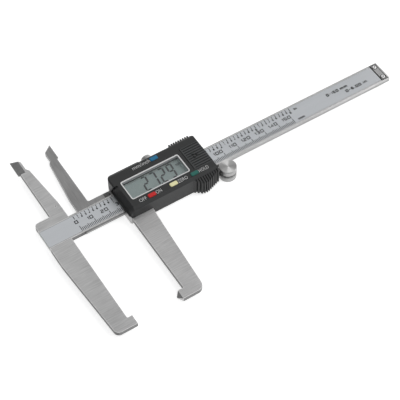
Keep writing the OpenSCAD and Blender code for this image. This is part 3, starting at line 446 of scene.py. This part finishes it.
marks += [number(str(n), zero_x + n * inch + 0.2, middling_foot, middling, 0.5) for n in range(1, 7)]
marks += [number("0-150 mm", zero_x + 194.5, 0.6, (1.78, text_tall), 0.6)]
marks += [number("0-6.00 in", zero_x + 207.3, -2.9, (1.95, text_tall), 0.6)]
prints = [slabs(m, face_z, face_z + film) for m in marks]
# The unit marks, each with its box, left, low, right and high, with X from the scale's zero.
for text, x0, y0, x1, y1 in [("in", 155.1, 2.9, 157.3, 4.5), ("mm", 153.2, -5.1, 157.9, -3.7)]:
    prints.append(letters(text, (zero_x + x0, y0, zero_x + x1, y1), face_z, face_z + film, 0.04))
piece("scale_print", *together(prints), ink, "beam", "scale_metal")

# Glue lines: grey glue that fills the narrow gaps between the plate's long edges and the pocket.
# It is squeezed out as the plate is pressed in and wiped off just below the face.
glue = mottled("plate_glue", 1.0, (0.24, 0.245, 0.25), (0.32, 0.325, 0.33), roughness=0.5)
glue_low, glue_high, glue_wide = face_z - 0.95, face_z - 0.06, 0.3
plate_edge = plate_high.y / MM
glue_lines = bars(plate_low.x / MM, plate_high.x / MM, [plate_edge, -plate_edge - glue_wide],
                  [plate_edge + glue_wide, -plate_edge])
piece("plate_glue", *slabs(glue_lines, glue_low, glue_high), glue, "beam", "scale_metal")


# End stop: a dull steel plate held by two small screws in the end of the pocket, which keeps the
# slider from leaving the beam. Painted shade darkens it round the screws, where their counterbores lie.
def near_screws(finish, radius):
    """1 within a radius of either screw's centre line, from (dx^2 + dy^2)^0.5, and 0 elsewhere."""
    low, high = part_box("end_stop_screws")
    head = (high.x - low.x) / 2
    x, y, _ = finish.parts(finish.place())
    dx = x - (low.x + head) / MM
    inside = [(dx * dx + (y - at / MM) * (y - at / MM)).root() < radius
              for at in (low.y + head, high.y - head)]
    return inside[0] + inside[1]


stop = Finish("stop_plate", metallic=1.0)
stop_clouds = stop.noise(stop.place(), (0.8, 0.8, 0.8), 3.0)
stop_tone = stop.tint(stop_clouds, (0.36, 0.36, 0.36), (0.46, 0.46, 0.46))
counterbore_shade_radius, painted_counterbore_shade = 1.8, 0.8
# Painted shade round the screws, for their counterbores.
stop.feed("Base Color", stop.scaled(stop_tone, 1.0 - near_screws(stop, counterbore_shade_radius) * painted_counterbore_shade))
stop.feed("Roughness", (stop_clouds - 0.5) * 0.2 + 0.45)
dress(stop, "end_stop")

# Screws and snap domes: small steel parts, bought in. The stop's two screws are bright, with
# painted shade in the middle of each head for its recess. Those of the gib, the housing and the
# roller's arm are plainer, and so are the domes.
bright_screw = Finish("bright_screw", metallic=1.0)
socket_shade_radius, painted_socket_shade = 0.55, 0.85
# Painted shade: each head is coloured dark in the middle, for its recess.
grind(bright_screw, (0.93, 0.93, 0.93), 0.3, 1.0 - near_screws(bright_screw, socket_shade_radius) * painted_socket_shade)
dress(bright_screw, "end_stop_screws")
dark_screw = Finish("screw_steel", metallic=1.0)
grind(dark_screw, (0.58, 0.58, 0.57), 0.32)
dress(dark_screw, "gib_screws", "housing_screws", "roller_arm_screw", "switch_domes")

# Slider frame: the channel that wraps the beam, the pointed jaw and the crossing blade are one
# piece of the same ground steel. The blade lies lower and is coloured darker, and its arm is
# darker still beside the housing.
slider_steel = Finish("slider_steel", metallic=1.0)
x, y, z = slider_steel.parts(slider_steel.place())
normal_x = slider_steel.parts(slider_steel.add("NewGeometry", output="Normal"))[0]
blade_low, arm_left = 7.5, zero_x + 23.8
jaw_high, jaw_left = -16.0, zero_x + 24.95
blade_dark, arm_dark = 0.42, 0.65
blade = (z < face_z - 2.9) * (y > blade_low)
darker_arm = blade * (x > arm_left)
# Painted shade on the jaw's side faces, darker still where they face left.
jaw_sides = ((y < jaw_high) * (z < face_z - 0.12) * (x > jaw_left)
             * ((normal_x < -0.5) * painted_left_side_shade + painted_side_shade))
grind(slider_steel, (0.56, 0.557, 0.557), 0.36,
      (1.0 - blade * blade_dark) * (1.0 - darker_arm * arm_dark) * (1.0 - jaw_sides), blade)
dress(slider_steel, "slider_frame")

# Gib strip: a bronze strip that two set screws press on the beam's upper edge.
# The battery's two contacts are springs of the same bronze.
bronze = Finish("bronze", metallic=1.0)
bronze_lines = bronze.noise(bronze.place(), (0.3, 6.0, 6.0), 3.0)
bronze.feed("Base Color", bronze.tint(bronze_lines, (0.50, 0.33, 0.15), (0.66, 0.46, 0.23)))
bronze.feed("Roughness", (bronze_lines - 0.5) * 0.2 + 0.35)
dress(bronze, "gib_strip", "battery_contact_minus", "battery_contact_plus")

# Circuit board: green lacquer over copper tracks, a resin blob over the chip, and two rubber
# strips that lead to the display. All of it is closed in between the frame and the housing.
board = Finish("board_lacquer", roughness=0.3)
board_tracks = board.noise(board.place(), (0.9, 0.9, 0.9), 0.0) > 0.52
board.feed("Base Color", board.tint(board_tracks, (0.02, 0.11, 0.05), (0.04, 0.19, 0.09)))
dress(board, "main_board")
resin = mottled("chip_resin", 0.8, (0.008, 0.008, 0.008), (0.02, 0.02, 0.02), roughness=0.25)
dress(resin, "processor_chip")
strip_rubber = Finish("strip_rubber", roughness=0.7)
strip_layers = (strip_rubber.parts(strip_rubber.place())[0] * 12.0).sine() > 0.0
strip_rubber.feed("Base Color", strip_rubber.tint(strip_layers, (0.55, 0.25, 0.22), (0.03, 0.03, 0.03)))
dress(strip_rubber, "display_strips")


# Housing and battery door: black mouldings with a fine spark-eroded grain. The housing is screwed
# on from the back and the door slides into its right end.
def moulding(name, dark, light):
    """Black moulded plastic: a fine pebbled grain in height and gloss, and softened edges."""
    grain_depth, edge_radius = 0.02, 0.25
    plastic = Finish(name, specular=0.5)
    place = plastic.place()
    grain = plastic.noise(place, (5.0, 5.0, 5.0), 3.0, 0.6)
    wear = plastic.noise(place, (0.15, 0.15, 0.15))
    plastic.feed("Roughness", (wear - 0.5) * 0.12 + 0.42)
    plastic.feed("Normal", plastic.bump(grain, grain_depth, plastic.rounded_edges(edge_radius)))
    return plastic, place, plastic.tint(grain * 0.5 + wear * 0.5, dark, light)


window_low, window_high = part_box("window_frame")
front_z = face_z + 9.0
rim = 0.3
case, case_place, case_tone = moulding("housing_plastic", (0.009, 0.010, 0.010), (0.019, 0.020, 0.021))
x, y, z = case.parts(case_place)
# Painted light: the walls of the window's well are coloured light grey against their shade.
painted_light_well = ((x > window_low.x / MM + rim) * (x < window_high.x / MM - rim)
        * (y > window_low.y / MM + rim) * (y < window_high.y / MM - rim) * (z < front_z - rim))
case.feed("Base Color", case.tint(painted_light_well, case_tone, (0.34, 0.35, 0.36)))
dress(case, "housing")
lid, lid_place, lid_tone = moulding("door_plastic", (0.008, 0.009, 0.009), (0.018, 0.019, 0.020))
# Painted highlight and shade: the ridge tops are coloured much lighter, the furrows darker.
painted_furrow_shade, painted_ridge_highlight = 0.4, 3.2
ridges = lid.parts(lid_place)[2] > front_z - 0.15
lid.feed("Base Color", lid.tint(ridges, lid.scaled(lid_tone, painted_furrow_shade),
                                lid.scaled(lid_tone, painted_ridge_highlight)))
dress(lid, "battery_door")

# Legends: white ink, pad-printed on the housing's front beside the buttons that they belong to.
# The strokes are a little thinner than the plain letters.
legend = mottled("legend_print", 2.0, (0.62, 0.62, 0.62), (0.80, 0.80, 0.80), roughness=0.45)
case_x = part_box("housing")[0].x / MM
thinner = -0.012
# Each legend with its box, left, low, right and high, with X from the housing's left side.
words = [("mm/inch", 16.4, 10.0, 28.2, 12.6), ("OFF", 7.9, -12.3, 12.7, -10.0),
         ("ON", 19.2, -12.2, 22.9, -9.9), ("ZERO", 34.1, -12.4, 40.7, -10.0),
         ("HOLD", 48.6, -12.3, 55.2, -10.0)]
legends = [letters(text, (case_x + x0, y0, case_x + x1, y1), front_z, front_z + film, thinner)
           for text, x0, y0, x1, y1 in words]
piece("housing_legend", *together(legends), legend, "slider", "white_frame")

# Display: a liquid crystal panel of grey-green glass under a clear acrylic window, which a white
# line frames. The panel is clipped in over the rubber strips, and the window is glued on.
display = Finish("display_glass", roughness=0.25)
display_place = display.place()
x, y, _ = display.parts(display_place)
# Painted shadow: outside this area the panel is coloured dark, for the shadow of the window's walls.
lit_left, lit_right, lit_low, lit_high = zero_x + 33.5, zero_x + 72.0, -6.9, 5.0
shadow_free_panel = ((x > lit_left) * (x < lit_right)) * ((y > lit_low) * (y < lit_high))
display_clouds = display.noise(display_place, (0.05, 0.08, 0.05))
glass = display.tint(display_clouds, (0.365, 0.437, 0.430), (0.405, 0.482, 0.475))
display.feed("Base Color", display.tint(shadow_free_panel, (0.09, 0.095, 0.10), glass))
dress(display, "display_panel")
window = Finish("window_acrylic", base_color=(0.60, 0.64, 0.64), alpha=0.05, ior=1.49)
window.feed("Roughness", window.noise(window.place(), (0.2, 0.2, 0.2)) * 0.06 + 0.03)
dress(window, "window_lens")
white = mottled("white_line", 0.8, (0.72, 0.72, 0.72), (0.80, 0.80, 0.80), roughness=0.4)
dress(white, "window_frame")

# Digits: dark strokes in the liquid crystal, seven to a digit, that lean to the right. Only the
# lit ones show, with a square point, and a faint unit mark at the right.
glass_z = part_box("display_panel")[1].z / MM
crystal = 0.02
stroke, digit_wide, digit_tall = 1.15, 4.3, 11.0
lean = math.tan(math.radians(5.0))
# The seven strokes, each between two corners of two stacked squares, and those lit in each digit.
ends = np.array([[[0, 2], [1, 2]], [[1, 2], [1, 1]], [[1, 1], [1, 0]], [[0, 0], [1, 0]],
                 [[0, 1], [0, 0]], [[0, 2], [0, 1]], [[0, 1], [1, 1]]], float)
lit = {"2": [0, 1, 3, 4, 6], "7": [0, 1, 2], "9": [0, 1, 2, 3, 5, 6]}


def strokes(which, left, low):
    """The lit strokes of a digit: hexagons between the corners of two stacked squares, moved to the
    right by their height times the lean."""
    gap = 0.12
    size = np.array([digit_wide - stroke, (digit_tall - stroke) / 2])
    a, b = np.moveaxis(ends[which] * size + stroke / 2, 1, 0)
    run = (b - a) / np.linalg.norm(b - a, axis=1, keepdims=True)
    side = np.stack([-run[:, 1], run[:, 0]], 1) * stroke / 2
    a, b, tip = a + run * gap, b - run * gap, run * stroke / 2
    hexagons = np.stack([a, a + tip - side, b - tip - side, b, b - tip + side, a + tip + side], 1)
    hexagons[..., 0] += hexagons[..., 1] * lean + left
    hexagons[..., 1] += low
    return hexagons


digit_ink = mottled("digit_strokes", 0.5, (0.045, 0.048, 0.050), (0.065, 0.068, 0.070), roughness=0.5)
first_left, digit_step, digit_low = case_x + 15.9, 5.83, -6.3
point_left, point_size = first_left + 2 * digit_step - 1.2, 0.9
shown = [strokes(lit[digit], first_left + i * digit_step, digit_low) for i, digit in enumerate("2729")]
shown.append(bars(point_left, point_left + point_size, digit_low, digit_low + point_size))
piece("display_digits", *together([slabs(s, glass_z, glass_z + crystal) for s in shown]),
      digit_ink, "slider", "display")
faint_ink = mottled("faint_unit", 0.5, (0.05, 0.06, 0.06), (0.08, 0.09, 0.09), roughness=0.5)
piece("display_unit",
      *letters("mm", (case_x + 40.4, 0.6, case_x + 43.6, 2.2), glass_z, glass_z + crystal, 0.02),
      faint_ink, "slider", "display")


# Buttons: four caps moulded of coloured plastic, one for each function. They stand in holes of the
# housing and press snap domes on the board.
def cap(name, colour):
    """Smooth coloured plastic with a faint mottling and softened edges."""
    mottle_depth, edge_radius = 0.01, 0.25
    plastic = Finish(name, roughness=0.35, specular=0.5)
    mottle = plastic.noise(plastic.place(), (0.9, 0.9, 0.9))
    dark = [c * 0.9 for c in colour]
    light = [min(c * 1.1, 1) for c in colour]
    plastic.feed("Base Color", plastic.tint(mottle, dark, light))
    plastic.feed("Normal", plastic.bump(mottle, mottle_depth, plastic.rounded_edges(edge_radius)))
    return plastic


dress(cap("blue_cap", (0.004, 0.150, 0.300)), "units_button")
dress(cap("red_cap", (0.56, 0.006, 0.006)), "power_button")
dress(cap("yellow_cap", (0.84, 0.80, 0.46)), "zero_button")
dress(cap("green_cap", (0.008, 0.125, 0.100)), "hold_button")


# Button cell: a plated steel can, crimped round its lid. It lies between its two contacts under
# the battery door.
def turned_steel(name, colour, centre, roughness, pitch, **even):
    """Lathe-turned steel: rings round a centre line along Z, as sine waves of the distance from it."""
    cloud_contrast, ring_contrast = 0.3, 0.03
    ring_depth, edge_radius = 0.002, 0.1
    steel = Finish(name, metallic=1.0, **even)
    place = steel.place()
    x, y, _ = steel.parts(place)
    dx, dy = x - centre[0] / MM, y - centre[1] / MM
    rings = ((dx * dx + dy * dy).root() * (2 * math.pi / pitch)).sine()
    clouds = steel.noise(place, (0.7, 0.7, 0.7))
    tone = (clouds - 0.5) * cloud_contrast + rings * ring_contrast + 1.0
    steel.feed("Base Color", steel.scaled(colour, tone))
    steel.feed("Roughness", (clouds - 0.5) * 0.1 + roughness)
    steel.feed("Normal", steel.bump(rings, ring_depth, steel.rounded_edges(edge_radius)))
    return steel


cell_low, cell_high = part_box("battery_cell")
dress(turned_steel("cell_steel", (0.62, 0.62, 0.62), (cell_low + cell_high) / 2, 0.25, 0.8),
      "battery_cell")

# Lock screw: a steel screw through the top of the slider frame that clamps it on the beam. Its
# plated knob is knurled so that a finger and thumb can tighten it.
knob = Finish("knob_plate", metallic=1.0)
knob_clouds = knob.noise(knob.place(), (1.2, 1.2, 1.2), 3.0)
knob.feed("Base Color", knob.tint(knob_clouds, (0.46, 0.46, 0.455), (0.64, 0.64, 0.635)))
knob.feed("Roughness", (knob_clouds - 0.5) * 0.15 + 0.3)
knob.feed("Normal", knob.rounded_edges(0.12))
dress(knob, "lock_screw")

# Thumb roller: two turned steel discs with a groove between them, held in a black spring arm. The
# tool marks on their faces wind outwards. Turned by thumb, it rolls along the beam's edge and moves
# the slider finely.
roller_low, roller_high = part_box("thumb_roller")
dress(turned_steel("roller_steel", (0.63, 0.63, 0.625), (roller_low + roller_high) / 2, 0.46, 0.35,
                   anisotropy=1.0, turn=0.35), "thumb_roller", "roller_disc")
arm = mottled("arm_black", 1.5, (0.012, 0.012, 0.012), (0.03, 0.03, 0.03), 3.0, roughness=0.5)
arm.feed("Normal", arm.rounded_edges(0.15))
dress(arm, "roller_arm")

# Bench: a sheet of plain white paper that the gauge lies on. It keeps the gauge's shadow, and a
# glow that only the camera and, weaker, gloss can see takes it up to white.
glow_strength, gloss_share, bench_half = 0.64, 0.7, 1.5
paper = Finish("paper")
diffuse = paper.add("BsdfDiffuse", inputs={"Color": (0.80, 0.80, 0.80)})
glow = paper.add("Emission", inputs={"Color": (1.0, 1.0, 1.0), "Strength": glow_strength})
nothing = paper.add("Emission", inputs={"Strength": 0.0})
from_camera = paper.add("LightPath", output="Is Camera Ray")
in_gloss = paper.add("LightPath", output="Is Glossy Ray")
seen = from_camera.maths("MAXIMUM", from_camera, in_gloss * gloss_share)
lift = paper.add("MixShader", inputs={0: seen, 1: nothing, 2: glow})
surface = paper.add("AddShader", inputs={0: diffuse, 1: lift})
paper.join(paper.tree.nodes["Material Output"].inputs["Surface"], surface)
corners = [(-bench_half, -bench_half, 0), (bench_half, -bench_half, 0),
           (bench_half, bench_half, 0), (-bench_half, bench_half, 0)]
bench = bpy.data.meshes.new("bench")
bench.from_pydata(corners, [], [(0, 1, 2, 3)])
bench.materials.append(paper.material)
floor = bpy.data.objects.new("bench", bench)
bpy.context.scene.collection.objects.link(floor)

# Light: a grey sky, brighter low behind and dark at the left back, which the camera itself sees as
# white, and one large soft lamp on the right.
world = bpy.data.worlds.new("sky")
bpy.context.scene.world = world
world.use_nodes = True
sky = Nodes(world.node_tree)
x, y, z = sky.parts(sky.add("TexCoord", output="Generated"))
sky_level, horizon_level, corner_dark = 0.62, 0.9, 0.76
low = 1.0 - z
dark = sky.rise(x, -0.5, 0.05, corner_dark, 0.0) * sky.rise(y, -0.2, 0.35)
level = (low * low * sky.rise(y, -0.1, 0.7) * horizon_level + sky_level) * (1.0 - dark)
grey = sky.scaled((1.0, 1.0, 1.0), level)
colour = sky.tint(sky.add("LightPath", output="Is Camera Ray"), grey, (1.0, 1.0, 1.0))
sky.join(world.node_tree.nodes["Background"].inputs["Color"], colour)

lamp = bpy.data.lights.new("soft_lamp", "AREA")
lamp.shape = "RECTANGLE"
lamp.size = 1.5
lamp.size_y = 1.5
lamp.energy = 8.7
to_lamp = Vector((0.75, -0.30, 0.65)) * 1.2
lamp_object = bpy.data.objects.new("soft_lamp", lamp)
lamp_object.location = aim + to_lamp
lamp_object.rotation_mode = "QUATERNION"
lamp_object.rotation_quaternion = (aim - lamp_object.location).to_track_quat("-Z", "Y")
bpy.context.scene.collection.objects.link(lamp_object)

bpy.context.scene.view_settings.view_transform = "Standard"
